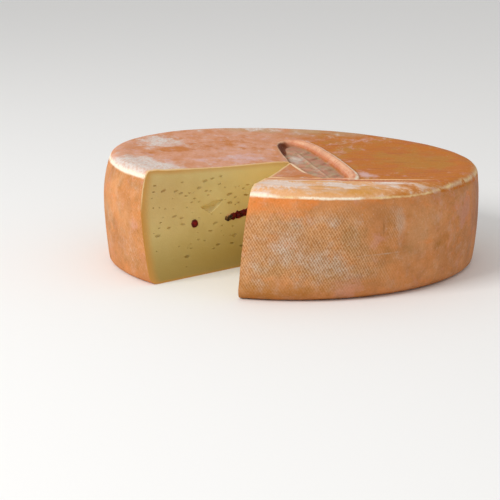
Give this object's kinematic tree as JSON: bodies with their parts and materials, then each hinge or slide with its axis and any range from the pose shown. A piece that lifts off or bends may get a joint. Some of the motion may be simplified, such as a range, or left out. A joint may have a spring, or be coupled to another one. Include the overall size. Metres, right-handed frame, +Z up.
{
  "type": "peppercorn raclette cheese wheel with a slice cut out",
  "caption": "Round pressed cheese wheel with a washed rind, cloth-marked sides, a plain leafy sprig pressed into the top in an oval, and one wedge cut out, showing pale paste with small holes and peppercorns.",
  "frame": {"origin": "on the wheel's axis, at its flat bottom", "axes": "+Z up along the wheel's axis; the missing wedge opens towards -X and -Y"},
  "size_m": [0.2998, 0.2998, 0.0861],
  "materials": {
    "rind_and_paste": "orange-brown washed rind with a cloth weave and whitish bloom, pale straw paste, satin",
    "red_peppercorn": "dark red, wrinkled",
    "dark_peppercorn": "blackish green to brown, wrinkled"
  },
  "bodies": {
    "root": {"cheese_wheel": "rind_and_paste"}
  },
  "joints": []
}
